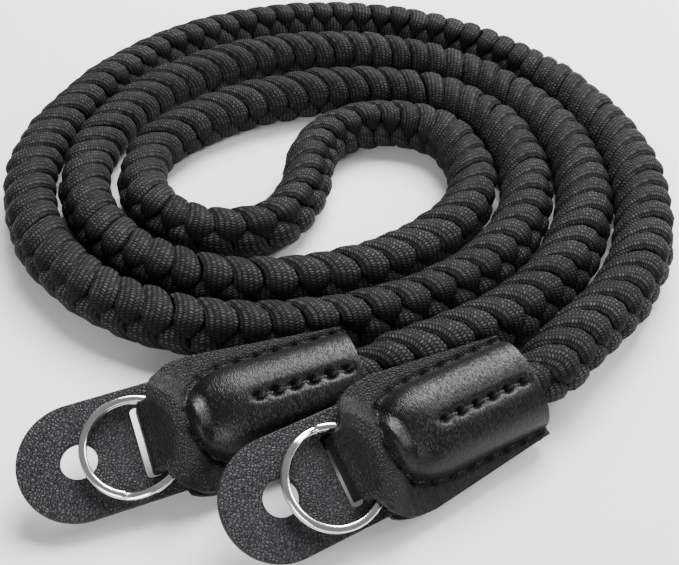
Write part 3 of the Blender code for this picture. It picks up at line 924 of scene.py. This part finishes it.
def makeStitches(side, tree, thread):
    # each run's line goes through the middles of its stitches
    length = layout[side]["length"]
    parts = []
    for label, holes in stitchRuns(length).items():
        kind = stitching[label]
        middles = [[mix(a, b, 0.5) for a, b in zip(*pair)] for pair in zip(holes, holes[1:])]
        curve = newCurve(f"{side}_{label}_line", "3D")
        addLine(curve, [Vector((along, across, topAt(along, across, length) - kind["sink"])) * mm
                        for along, across in middles])
        line = newPiece(f"{side}_{label}_line", curve)
        stitch = newPiece("stitch", stitchMesh(kind["thread"]))
        parts.append(runTree(f"{side}_{label}", tree, {
            "Line": line, "Stitch": stitch, "Stitches": len(middles), "Unevenness": 1.0, "Seed": 3,
            "Thread": thread,
        }))
        discard(line, stitch)
    shape = bmesh.new()
    for part in parts:
        shape.from_mesh(part)
    mesh = bpy.data.meshes.new("stitches")
    shape.to_mesh(mesh)
    shape.free()
    piece = placePiece(side, "stitches", mesh, thread)
    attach(piece, "root")


# Protector flaps

flap = {
    "width": 16.8, "holeDiameter": 5.1, "holeReach": 7.5, "rounding": 0.16,
    "slotFront": 2.4, "slotGap": 0.9, "slotCorner": 0.7, "merge": 0.01,
    "steep": 0.3, "level": 0.99,  # how upright the normals of its cut edge and its faces are
}


def arcPoints(centre, radius, start, stop, steps):
    turns = [math.radians(mix(start, stop, i / steps)) for i in range(steps + 1)]
    return [(centre[0] + radius * math.cos(t), centre[1] + radius * math.sin(t)) for t in turns]


def makeFlap(side):
    # a filled outline with the camera lug's hole and the slot for the leather end
    curve = newCurve("outline", "2D")
    curve.fill_mode = "BOTH"
    curve.extrude = (leather["flapWall"] / 2 - flap["rounding"]) * mm
    curve.bevel_depth = flap["rounding"] * mm
    curve.bevel_resolution = 2
    curve.offset = -flap["rounding"] * mm
    half, tuck, corner = flap["width"] / 2, leather["flapTuck"], flap["slotCorner"]
    hole = (ring["reach"] + flap["holeReach"], 0.0)
    front = flap["slotFront"] - corner
    back = flap["slotFront"] - flap["slotGap"] - leather["wall"] - leather["clearance"] + corner
    reach = leather["tabEndWidth"] / 2 + leather["clearance"] - corner / 2
    slot = []
    for x, y, start in ((front, reach, 0), (back, reach, 90), (back, -reach, 180), (front, -reach, 270)):
        slot += arcPoints((x, y), corner, start, start + 90, 6)
    outer = [(-tuck, half), (-tuck, -half)] + arcPoints(hole, half, -90, 90, 72)
    for points in (outer, arcPoints(hole, flap["holeDiameter"] / 2, 0, 355, 71), slot):
        addLine(curve, [(x * mm, y * mm, 0.0) for x, y in points], closed=True)
    mesh = bakedMesh(newPiece("outline", curve))
    shape = bmesh.new()
    shape.from_mesh(mesh)
    bmesh.ops.remove_doubles(shape, verts=shape.verts[:], dist=flap["merge"] * mm)
    bmesh.ops.recalc_face_normals(shape, faces=shape.faces[:])
    for face in shape.faces:
        upright = abs(face.normal.z)
        face.material_index = 1 if upright < flap["steep"] else 0
        face.smooth = upright < flap["level"]
    shape.to_mesh(mesh)
    shape.free()
    piece = placePiece(side, "flap", mesh, flapFinish, edgeFinish)
    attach(piece, "root")
    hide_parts(f"{side}_protector_flap")


# Split rings

steel = {
    "colour": (0.83, 0.82, 0.79, 1.0), "roughness": (0.06, 0.24),
    "smear": 0.7, "scratch": 6.0, "scratchDepth": 0.01, "scratchStrength": 0.35,
}


def steelMaterial():
    made, tree, shader = newMaterial(
        "bright nickel plate", Metallic=1.0, Roughness=0.13, Base_Color=steel["colour"])
    place = objectPlace(tree)
    smear = noiseAt(tree, place, steel["smear"], 4.0, Roughness=0.65).outputs[0]
    rough = ramped(tree, smear, 0.0, 1.0, *steel["roughness"], "LINEAR")
    tree.links.new(rough, shader.inputs["Roughness"])
    scratches = noiseAt(tree, place, steel["scratch"], 2.0).outputs[0]
    addBump(tree, shader, scratches, steel["scratchDepth"], steel["scratchStrength"])
    return made


steelFinish = steelMaterial()


def makeRing(side):
    start = math.radians(layout[side]["ringTurn"])
    kink = math.radians(ring["kink"])
    centre = Vector((ring["reach"], ring["slip"], ringBase + ringThickness / 2))
    radius = (ring["diameter"] - ring["wireWidth"]) / 2
    lift = (ring["wireHeight"] + ring["turnGap"]) / 2
    steps, sides = ring["steps"], ring["sides"]
    rows = []
    for i in range(steps + 1):
        turn = (2 * math.tau - kink) * i / steps
        height = mix(-lift, lift, smoothStep((turn - math.tau + kink) / kink))
        angle = turn + start
        out = Vector((math.cos(angle), math.sin(angle), 0.0))
        taper = 1.0 if 0 < i < steps else ring["endTaper"]
        row = []
        for k in range(sides):
            x, y = squaredPoint(math.tau * k / sides, ring["squareness"])
            row.append((centre + out * (radius + x * taper * ring["wireWidth"] / 2)
                        + Vector((0, 0, height + y * taper * ring["wireHeight"] / 2))) * mm)
        rows.append(row)
    piece = placePiece(side, "ring", gridMesh("wire", rows, closed=True, capped=True), steelFinish)
    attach(piece, "root")
    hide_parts(f"{side}_split_ring")


threadFinish = threadMaterial()
stitchRun = stitchTree()
for side in ("left", "right"):
    makeCover(side)
    makeStitches(side, stitchRun, threadFinish)
    makeFlap(side)
    makeRing(side)
print("camera strap: ends made")


# Studio

studio = {
    "floor": 3.0, "floorColour": (0.84, 0.84, 0.84), "speckle": 40.0, "speckleShade": 0.99, "world": 0.25,
    "lights": {
        "back": {"place": (0.14, 0.40, 0.55), "size": 0.50, "watts": 18.0},
        "front": {"place": (-0.18, -0.60, 0.26), "size": 0.30, "watts": 3.4},
        "right": {"place": (0.55, 0.10, 0.38), "size": 0.30, "watts": 3.5},
    },
}
floorMaterial, floorTree, floorShader = newMaterial("pale floor", Roughness=0.75, Specular_IOR_Level=0.2)
speckle = addNode(floorTree, "ShaderNodeTexNoise", {"Scale": studio["speckle"], "Detail": 2.0}).outputs[0]
pale = studio["floorColour"]
dim = [part * studio["speckleShade"] for part in pale]
speckled = colourRamp(floorTree, speckle, [(0.3, dim), (0.7, pale)])
floorTree.links.new(speckled, floorShader.inputs["Base Color"])
half = studio["floor"] / 2
floor = newPiece("studio_floor", gridMesh("studio_floor", [
    [Vector((-half, y, 0.0)), Vector((half, y, 0.0))] for y in (half, -half)]), floorMaterial)
for name, lamp in studio["lights"].items():
    light = bpy.data.lights.new(name, "AREA")
    light.shape = "SQUARE"
    light.size = lamp["size"]
    light.energy = lamp["watts"]
    holder = newPiece(name, light)
    holder.location = lamp["place"]
    holder.rotation_euler = (-Vector(lamp["place"])).to_track_quat("-Z", "Y").to_euler()
world = bpy.context.scene.world or bpy.data.worlds.new("studio")
bpy.context.scene.world = world
world.use_nodes = True
background = world.node_tree.nodes["Background"].inputs
background["Color"].default_value = (1.0, 1.0, 1.0, 1.0)
background["Strength"].default_value = studio["world"]

print("camera strap: done")
